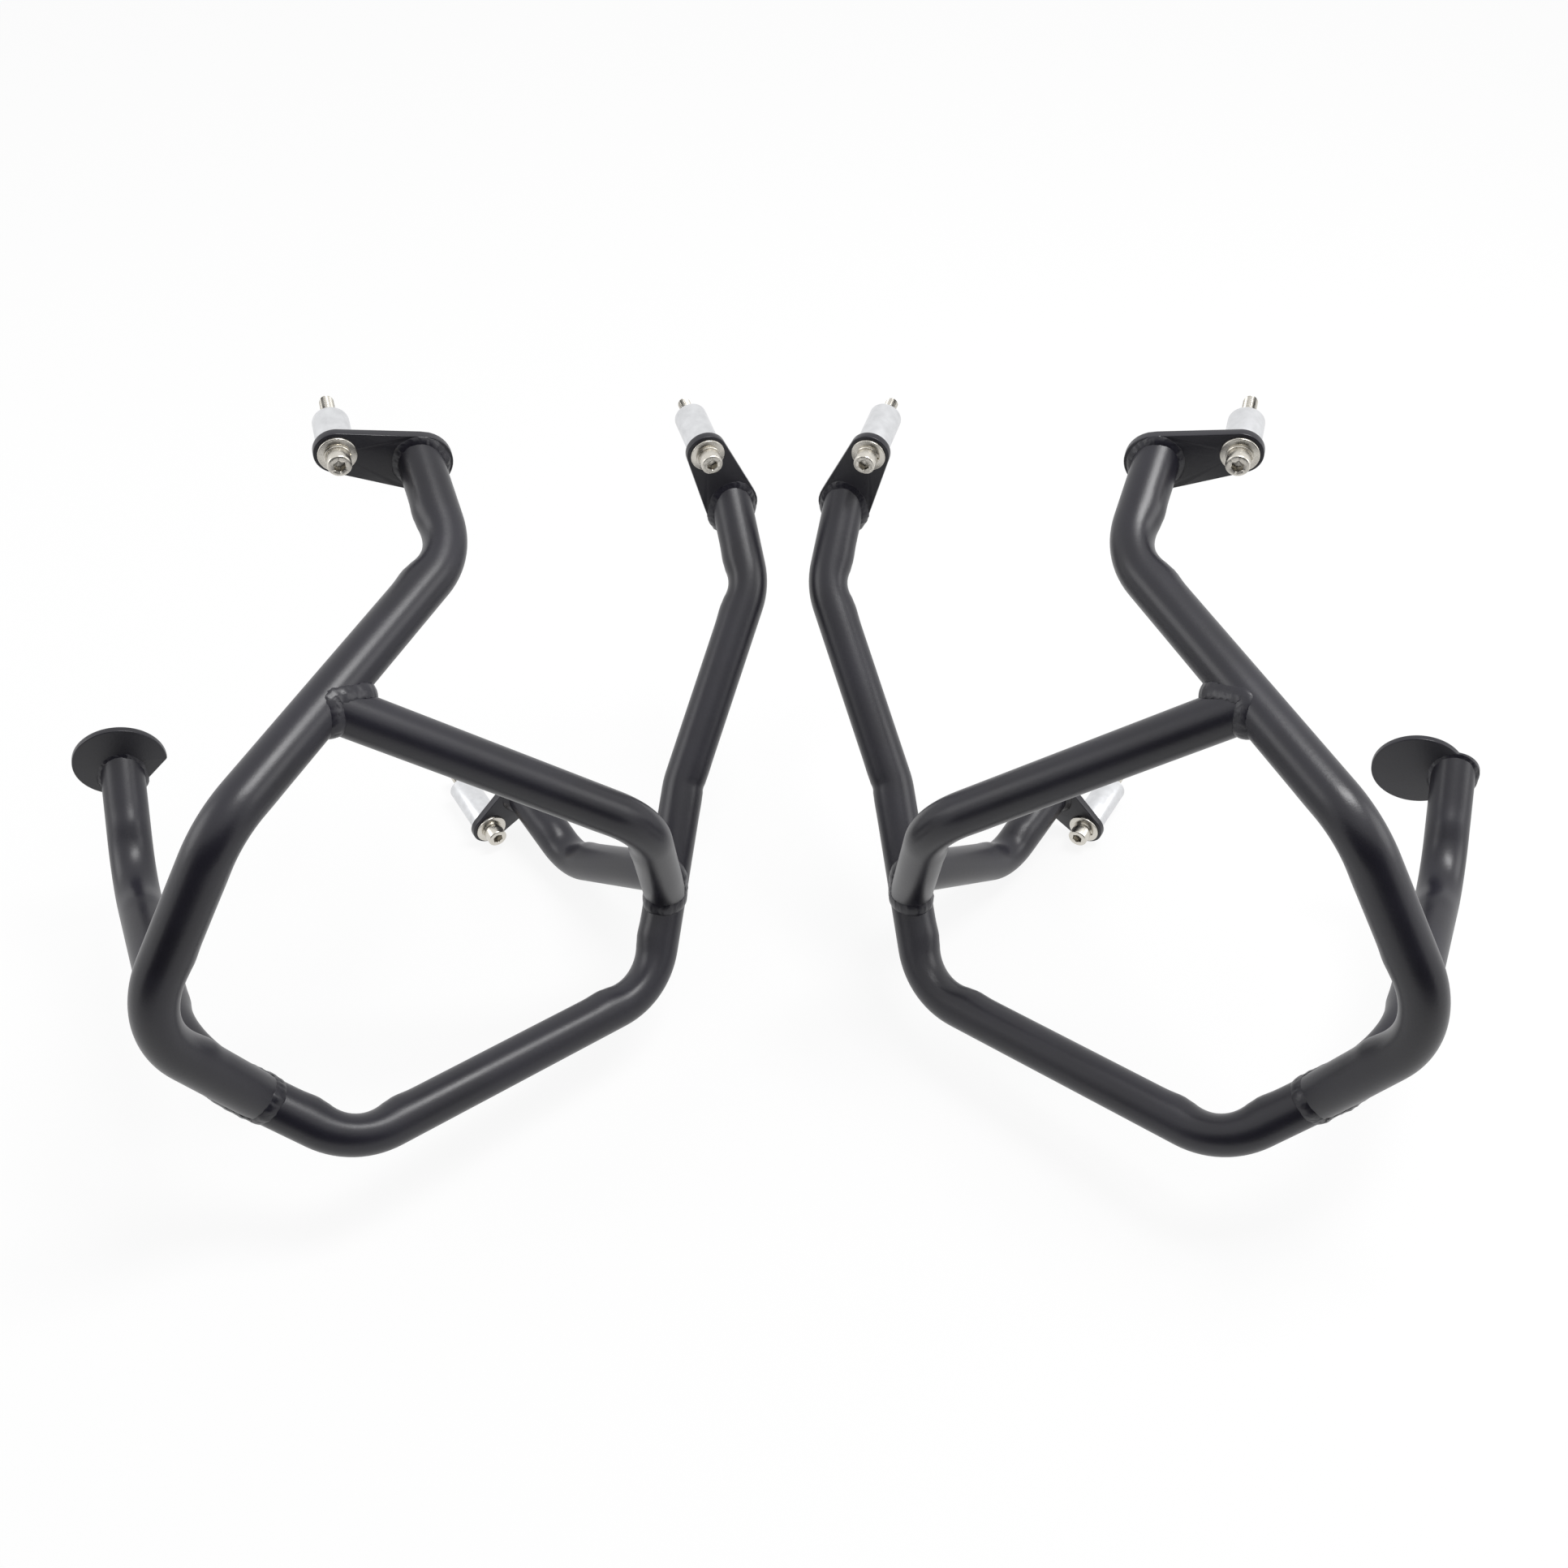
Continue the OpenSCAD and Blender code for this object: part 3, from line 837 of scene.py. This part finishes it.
class CRASHBARS_OT_pads(bpy.types.Operator):
    """Makes the round left pad with its flat and the keyhole-shaped right pad"""
    bl_idname = "crashbars.pads"
    bl_label = "Pads"

    def execute(self, context):
        settings = context.scene.crash_bar_plates
        tube = context.scene.crash_bar_tubes.diameter / 2
        radius = settings.pad_diameter / 2

        def left_outline(t):
            ahead = math.cos(t - PAD_FLAT_ANGLE)
            return min(radius, PAD_FLAT / ahead) if ahead > 0.01 else radius

        def right_outline(t):
            return max(radius, disc_reach(PAD_MIDDLES["right"], (0, 0), tube + PAD_LOBE_RIM, t))

        for side, outline in (("left", left_outline), ("right", right_outline)):
            rings = slab_rings(outline, settings.pad_thickness, settings.edge, PAD_MIDDLES[side])
            mesh = ring_stack("pad", rings, sides=256)
            mesh.transform(side_matrix(side) @ plate_matrix(PAD_FOOT, 0))
            shown(f"{side}_pad_coated", mesh, "satin_black_powder_coat", f"{side}_pad")
        return {"FINISHED"}


def seam_point(place, first, second, deep):
    """A point of a seam between two surfaces with these outward ways: its place, the way that
    the weld faces, how deep its centre lies and the cosine at which the steel begins. deep is
    that depth below each surface in millimetres, where they stand square to each other."""
    alike = first.dot(second)
    both = first + second
    depth = (deep + (5.5 - deep) * max(0.0, alike)) * MM * both.length
    return place, both.normalized(), depth, math.sqrt(max(0.0, 1 - alike) / 2)


def spokes(axis, other, count):
    """Ways out from an axis, all round it. The first is also square to the other way."""
    across = axis.cross(other).normalized()
    up = across.cross(axis)
    for k in range(count):
        t = 2 * math.pi * k / count
        yield across * math.cos(t) + up * math.sin(t)


def plate_seam(foot, yaw, toward, radius, count, deep=6.8):
    """The line where a tube meets its plate."""
    foot = vec(foot)
    normal = Matrix.Rotation(math.radians(yaw), 3, "Z") @ Vector((0, -1, 0))
    axis = (vec(toward) - foot).normalized()
    seam = []
    for spoke in spokes(axis, normal, count):
        q = foot + spoke * radius
        q -= axis * ((q - foot).dot(normal) / axis.dot(normal))
        seam.append(seam_point(q, spoke, normal, deep))
    return seam


def saddle_seam(joint, toward, a, b, radius, count):
    """The line where one tube lands on another."""
    axis = (toward - joint).normalized()
    mate = (b - a).normalized()
    level = axis - axis.dot(mate) * mate
    seam = []
    for spoke in spokes(axis, mate, count):
        q = spoke * radius
        q_level = q - q.dot(mate) * mate
        half = q_level.dot(level) / level.length_squared
        rest = (radius * radius - q_level.length_squared) / level.length_squared
        out = q + axis * (-half + math.sqrt(max(0.0, half * half + rest)))
        landing = (out - out.dot(mate) * mate).normalized()
        seam.append(seam_point(joint + out, spoke, landing, deep=5.2))
    # The hand that welds rounds the sharp turns where the tubes lie side by side
    span = 5
    rounded = [sum((seam[(k + n) % count][0] for n in range(-span, span + 1)), Vector())
               / (2 * span + 1) for k in range(count)]
    return [(place,) + point[1:] for place, point in zip(rounded, seam)]


class CRASHBARS_OT_welds(bpy.types.Operator):
    """Runs a rippled weld bead round every joint of each bar"""
    bl_idname = "crashbars.welds"
    bl_label = "Weld beads"

    def execute(self, context):
        settings = context.scene.crash_bar_welds
        radius = context.scene.crash_bar_tubes.diameter / 2
        tree = weld_tree()
        count = 150
        routes = {name: corners for name, (corners, _) in route_corners().items()}
        base, hoop, cross, stub = (routes[f"{name}_tube"]
                                   for name in ("frame", "hoop", "cross", "stub"))
        seams = [
            plate_seam(FRAME_CORNERS[0], 0, FRAME_CORNERS[1], radius, count),
            plate_seam(HOOP_CORNERS[0], 0, HOOP_CORNERS[1], radius, count),
            plate_seam(STUB_END, PLATES["middle"]["yaw"], STUB_CORNER, radius, count),
            plate_seam(PAD_FOOT, 0, FRAME_CORNERS[-2], radius, count, deep=7.6),
            saddle_seam(cross[0], cross[1], hoop[1], hoop[2], radius, count),
            saddle_seam(cross[2], cross[1], base[2], base[3], radius, count),
            saddle_seam(stub[0], stub[1], base[2], base[3], radius, count),
            saddle_seam(hoop[-1], hoop[-2], base[4], base[5], radius, count),
        ]
        points = [point for seam in seams for point in seam]
        edges = [(n * count + k, n * count + (k + 1) % count)
                 for n in range(len(seams)) for k in range(count)]
        for side in SIDES:
            mesh = raw_mesh("seams", [point[0] for point in points], edges)
            for n, name in enumerate(("centre", "facing", "depth", "edge")):
                mark(mesh, name, [point[n] for point in points])
            made = grown(f"{side}_weld_beads", mesh_object("seams", mesh), tree, {
                "Bulge radius": settings.bulge, "Pitch": settings.pitch,
                "Ripple": settings.ripple, "Lumps": settings.lumps,
                "Seed": 3.0 if side == "left" else 8.0})
            forget(made.data, ("centre", "facing", "depth", "edge", "phase"))
            made.data.transform(side_matrix(side))
            dressed(made.data, angle=60)
            finished(made, [f"{side}_welds"])
        return {"FINISHED"}


def mount_points(depth):
    """A mesh with one point at each mount of both bars, turned to its axis. depth gives how
    far along the axis the point stands for a plate, in metres."""
    places, turns = [], []
    for _, plate, matrix in mounts():
        if matrix.determinant() < 0:
            matrix = matrix @ Matrix.Scale(-1, 4, (1, 0, 0))
        places.append(matrix @ Vector((0, 0, depth(plate))))
        turns.append(Vector(matrix.to_euler("XYZ")))
    mesh = raw_mesh("mounts", places)
    mark(mesh, "turn", turns)
    return mesh


def set_at_mounts(name, part_mesh, kind=None, depth=lambda plate: 0.0):
    """Sets one plated part at every mount with the fastener tree. It stands for the solids of
    that kind."""
    part = mesh_object("part", part_mesh)
    made = grown(name, mesh_object("mounts", mount_points(depth)), fastener_tree(),
                 {"Part": part, "Finish": material("bright_zinc_plated_steel")})
    bpy.data.objects.remove(part)
    smooth(made.data, angle=35)
    if kind:
        finished(made, mount_nodes(kind))
    return made


def hexagon(width):
    """Distance from the middle to a hexagon's side for an angle."""
    return lambda t: width / 2 / math.cos((t + math.pi / 6) % (math.pi / 3) - math.pi / 6)


def cap_head(settings):
    """A cap head on the spring washer: rounded rim, hexagon socket with a drilled bottom."""
    base = settings.washer_thickness + settings.spring_thickness
    top = base + settings.head_height
    radius = settings.head / 2
    floor = top - settings.socket_depth
    socket = hexagon(settings.socket)
    rings = lathe([
        (radius - 0.3 * MM, base), (radius, base + 0.3 * MM), (radius, top - 0.9 * MM),
        (radius - 0.1 * MM, top - 0.55 * MM), (radius - 0.35 * MM, top - 0.2 * MM),
        (radius - 0.75 * MM, top - 0.03 * MM), (radius - 1.1 * MM, top),
        (settings.socket * 0.6, top)])
    rings += [outline_ring(socket, -0.05 * MM, top - 0.25 * MM),
              outline_ring(socket, 0, top - 0.5 * MM), outline_ring(socket, 0, floor)]
    rings += lathe([(settings.socket * 0.42, floor), (0.3 * MM, floor - 0.9 * MM)])
    return ring_stack("cap_head", rings, sides=72)


def threaded_end(settings, length):
    """The free end of a bolt, its point at the origin and its thread running to +Z."""
    radius, pitch = settings.thread / 2, settings.thread_pitch
    depth = 0.61 * pitch
    rings = [circle_ring(radius - depth - 0.4 * MM, 0)]
    steps = 6
    for k in range(1, int(length / pitch * steps) + 1):
        z = k * pitch / steps

        def ring(t, z=z):
            share = (z / pitch - t / (2 * math.pi)) % 1.0
            cut = depth * (1 - abs(2 * share - 1)) ** 0.8
            near_point = max(0.0, 1.1 * MM - z)
            r = min(radius - cut, radius - near_point)
            return (r * math.cos(t), r * math.sin(t), z)
        rings.append(ring)
    return ring_stack("threaded_end", rings, sides=48)


class CRASHBARS_OT_bolts(bpy.types.Operator):
    """Sets the socket head bolts with their shanks and threads"""
    bl_idname = "crashbars.bolts"
    bl_label = "Bolts"

    def execute(self, context):
        settings = context.scene.crash_bar_fasteners
        plate_thickness = context.scene.crash_bar_plates.thickness
        finish = material("bright_zinc_plated_steel")
        base = settings.washer_thickness + settings.spring_thickness
        longest = max(p["thread"] for p in PLATES.values()) * MM + 2 * MM

        def tip(plate):
            return -(plate_thickness + (plate["spacer"] + plate["thread"]) * MM)

        parts = [set_at_mounts("bolt_heads", cap_head(settings)),
                 set_at_mounts("bolt_threads", threaded_end(settings, longest), depth=tip)]
        radius = settings.thread / 2 - 0.05 * MM
        for _, plate, matrix in mounts():
            low = tip(plate) + longest - 0.5 * MM
            rings = lathe([(radius - 0.75 * MM, low), (radius, low + 0.8 * MM),
                           (radius, base + 0.5 * MM)])
            mesh = ring_stack("shank", rings, sides=48)
            mesh.transform(matrix)
            mesh.materials.append(finish)
            dressed(mesh, angle=35)
            parts.append(mesh_object("shank", mesh))
        joined = bmesh.new()
        for part in parts:
            joined.from_mesh(part.data)
            bpy.data.objects.remove(part)
        mesh = closed_edit("cap_screws", joined)
        mesh.materials.append(finish)
        finished(mesh_object("cap_screws", mesh), mount_nodes("bolt"))
        return {"FINISHED"}


class CRASHBARS_OT_washers(bpy.types.Operator):
    """Sets a flat washer and a split spring washer under every head"""
    bl_idname = "crashbars.washers"
    bl_label = "Washers"

    def execute(self, context):
        settings = context.scene.crash_bar_fasteners
        hole = context.scene.crash_bar_plates.hole / 2
        thick, radius, lip = settings.washer_thickness, settings.washer / 2, 0.25 * MM
        # A pressed washer is rounded on the side that faces the head
        burr = 0.1 * MM
        rings = lathe([
            (hole, burr), (hole, thick - lip), (hole + lip, thick), (radius - 2 * lip, thick),
            (radius - lip, thick - lip * 0.35), (radius - lip * 0.3, thick - lip),
            (radius, thick - 2 * lip), (radius, burr), (radius - burr, 0), (hole + burr, 0)])
        set_at_mounts("flat_washers", ring_stack("flat_washer", rings, sides=96, closed=True),
                      "flat_washer")
        set_at_mounts("spring_washers", self.split_ring(settings), "spring_washer")
        return {"FINISHED"}

    @staticmethod
    def split_ring(settings):
        """A coil of one turn of square wire, pressed almost flat, with slanted ends."""
        inner, outer = settings.thread / 2 + 0.1 * MM, settings.spring / 2
        low = settings.washer_thickness
        high = low + settings.spring_thickness
        lip = 0.25 * MM
        section = [(inner + lip, low), (outer - lip, low), (outer, low + lip),
                   (outer, high - lip), (outer - lip, high), (inner + lip, high),
                   (inner, high - lip), (inner, low + lip)]
        work = bmesh.new()
        steps = 90
        half_gap = math.radians(6)
        layers = []
        for k in range(steps + 1):
            share = k / steps
            layer = []
            for r, z in section:
                slant = 0.25 * ((z - low) / (high - low) - 0.5)
                t = half_gap + (2 * math.pi - 2 * half_gap) * share
                t += slant * abs(1 - 2 * share) ** 6
                layer.append(work.verts.new((r * math.cos(t), r * math.sin(t), z)))
            layers.append(layer)
        for a, b in zip(layers, layers[1:]):
            for k in range(len(section)):
                n = (k + 1) % len(section)
                work.faces.new((a[k], a[n], b[n], b[k]))
        work.faces.new(layers[0])
        work.faces.new(layers[-1])
        bmesh.ops.recalc_face_normals(work, faces=work.faces)
        return closed_edit("spring_washer", work)


class CRASHBARS_OT_spacers(bpy.types.Operator):
    """Turns the spacers behind the plates, each to its own length"""
    bl_idname = "crashbars.spacers"
    bl_label = "Spacers"

    def execute(self, context):
        settings = context.scene.crash_bar_fasteners
        thickness = context.scene.crash_bar_plates.thickness
        hole = context.scene.crash_bar_plates.hole / 2
        radius, chamfer = settings.spacer / 2, settings.spacer_chamfer
        soft = 0.15 * MM
        for node, plate, matrix in mounts():
            long = plate["spacer"] * MM
            low = -thickness - long
            rings = lathe([(r, low + z) for r, z in (
                (hole, soft), (hole + soft, 0), (radius - chamfer - soft, 0),
                (radius - chamfer, 0.05 * MM), (radius - soft * 0.3, chamfer - soft),
                (radius, chamfer + soft), (radius, long - chamfer - soft),
                (radius - soft * 0.3, long - chamfer + soft),
                (radius - chamfer, long - 0.05 * MM), (radius - chamfer - soft, long),
                (hole + soft, long), (hole, long - soft))])
            mesh = ring_stack("spacer", rings, sides=96, closed=True)
            self.unwrap(mesh)
            mesh.transform(matrix)
            shown(f"{node}_spacer_turned", mesh, "lathe_turned_aluminium",
                  f"{node}_spacer")
        return {"FINISHED"}

    @staticmethod
    def unwrap(mesh):
        """Maps a spacer along the bar on its outside, and across its faces from the bore out."""
        uv = mesh.uv_layers.new(name="turning")
        for loop in mesh.loops:
            x, y, z = mesh.vertices[loop.vertex_index].co
            around = (math.atan2(y, x) / (2 * math.pi)) % 1.0
            uv.data[loop.index].uv = (around, z + math.hypot(x, y))
        for polygon in mesh.polygons:
            corners = [uv.data[i] for i in polygon.loop_indices]
            values = [corner.uv[0] for corner in corners]
            if max(values) - min(values) > 0.5:
                for corner in corners:
                    if corner.uv[0] < 0.5:
                        corner.uv = (corner.uv[0] + 1, corner.uv[1])


def white_share(tree):
    """One for the rays that see the background, straight on, mirrored or through glass."""
    rays = put(tree, "ShaderNodeLightPath").outputs
    seen = calc(tree, "ADD", rays["Is Camera Ray"], rays["Is Glossy Ray"])
    return put(tree, "ShaderNodeMath", {0: seen, 1: rays["Is Transmission Ray"]},
               operation="ADD", use_clamp=True).outputs[0]


class CRASHBARS_OT_stage(bpy.types.Operator):
    """Sets up the white floor, the soft overhead light and the camera"""
    bl_idname = "crashbars.stage"
    bl_label = "Stage"

    def execute(self, context):
        scene = context.scene
        settings = scene.crash_bar_stage
        scene.view_settings.view_transform = "Standard"
        self.floor(settings)
        self.card(settings)
        self.room(scene, settings)
        aim = Vector((0, 0, 0.15))
        for name, place, size, power in (
                ("overhead_softbox", (0.5, 0.1, 1.65), (0.35, 0.8), settings.top_light),
                ("left_softbox", (-1.4, 0.0, 0.8), (0.7, 0.7), settings.side_light),
                ("right_softbox", (1.4, 0.0, 0.8), (0.7, 0.7), settings.side_light)):
            light = bpy.data.lights.new(name, "AREA")
            light.shape = "RECTANGLE"
            light.size, light.size_y = size
            light.energy = power
            lamp = bpy.data.objects.new(name, light)
            lamp.location = place
            lamp.rotation_euler = (aim - Vector(place)).to_track_quat("-Z", "Y").to_euler()
            scene.collection.objects.link(lamp)
        camera = bpy.data.cameras.new("camera")
        camera.sensor_width = 36
        camera.lens = settings.focal_length
        camera.clip_start = 0.01
        eye = bpy.data.objects.new("camera", camera)
        eye.location = settings.camera_place
        eye.rotation_euler = (math.radians(90 - settings.camera_pitch), 0, 0)
        scene.collection.objects.link(eye)
        scene.camera = eye
        return {"FINISHED"}

    @staticmethod
    def sheet(name, corners, tone):
        """A flat matt sheet of the stage. Gives its object, its tree and its matt surface."""
        mesh = raw_mesh(name, corners, faces=[(0, 1, 2, 3)])
        finish, tree = new_material(name)
        mesh.materials.append(finish)
        matt = put(tree, "ShaderNodeBsdfDiffuse", {"Color": colour(tone)})
        made = mesh_object(name, mesh)
        return made, tree, matt.outputs["BSDF"]

    def floor(self, settings):
        """A wide white floor that shows part of the shadow and none of the room's tone."""
        half, level = 6.0, -1 * MM
        corners = [(-half, -half, level), (half, -half, level), (half, half, level),
                   (-half, half, level)]
        _, tree, matt = self.sheet("floor", corners, "#f4f4f4")
        white = put(tree, "ShaderNodeEmission", {"Color": (1, 1, 1, 1), "Strength": 1.0})
        share = calc(tree, "MULTIPLY", white_share(tree), 1 - settings.shadow)
        mixed = put(tree, "ShaderNodeMixShader", {0: share, 1: matt,
                                                  2: white.outputs["Emission"]})
        put(tree, "ShaderNodeOutputMaterial", {"Surface": mixed.outputs["Shader"]})

    def card(self, settings):
        """A black card behind the camera. It shows as the dark middles of the tubes."""
        half, place, top = settings.card_width / 2, -1.8, 2.1
        corners = [(-half, place, 0), (half, place, 0), (half, place, top), (-half, place, top)]
        card, tree, matt = self.sheet("black_card", corners, "#1c1c1e")
        put(tree, "ShaderNodeOutputMaterial", {"Surface": matt})
        card.visible_camera = False

    @staticmethod
    def room(scene, settings):
        """A white room that lights the object at a plain level."""
        world = bpy.data.worlds.new("white_room")
        scene.world = world
        world.use_nodes = True
        tree = world.node_tree
        tree.nodes.clear()
        strength = put(tree, "ShaderNodeMix", {
            0: white_share(tree), 2: settings.room_light, 3: 1.0}, data_type="FLOAT").outputs[0]
        light = put(tree, "ShaderNodeBackground", {"Color": (1, 1, 1, 1),
                                                   "Strength": strength})
        put(tree, "ShaderNodeOutputWorld", {"Surface": light.outputs["Background"]})


class CRASHBARS_PT_panel(bpy.types.Panel):
    """Lists the pieces of the crash bars"""
    bl_idname = "CRASHBARS_PT_panel"
    bl_label = "Crash bars"
    bl_space_type = "VIEW_3D"
    bl_region_type = "UI"
    bl_category = "Crash bars"

    def draw(self, context):
        for name, (group, operators) in GROUPS.items():
            box = self.layout.box()
            for setting in group.__annotations__:
                box.prop(getattr(context.scene, name), setting)
            for operator in operators:
                box.operator(operator.bl_idname)


# Each group of settings with the operators that it is for
GROUPS = {
    "crash_bar_finish": (FinishSettings, []),
    "crash_bar_tubes": (TubeSettings, [CRASHBARS_OT_tubes]),
    "crash_bar_plates": (PlateSettings, [CRASHBARS_OT_plates, CRASHBARS_OT_pads]),
    "crash_bar_welds": (WeldSettings, [CRASHBARS_OT_welds]),
    "crash_bar_fasteners": (FastenerSettings, [CRASHBARS_OT_bolts, CRASHBARS_OT_washers,
                                               CRASHBARS_OT_spacers]),
    "crash_bar_stage": (StageSettings, [CRASHBARS_OT_stage]),
}
OPERATORS = [operator for _, operators in GROUPS.values() for operator in operators]
register_classes, unregister_classes = bpy.utils.register_classes_factory(
    [*(group for group, _ in GROUPS.values()), *OPERATORS, CRASHBARS_PT_panel])


def register():
    register_classes()
    for name, (group, _) in GROUPS.items():
        setattr(bpy.types.Scene, name, bpy.props.PointerProperty(type=group))


def unregister():
    for name in GROUPS:
        delattr(bpy.types.Scene, name)
    unregister_classes()


def main():
    register()
    for operator in OPERATORS:
        getattr(bpy.ops.crashbars, operator.bl_idname.split(".")[1])()


if __name__ == "__main__":
    main()
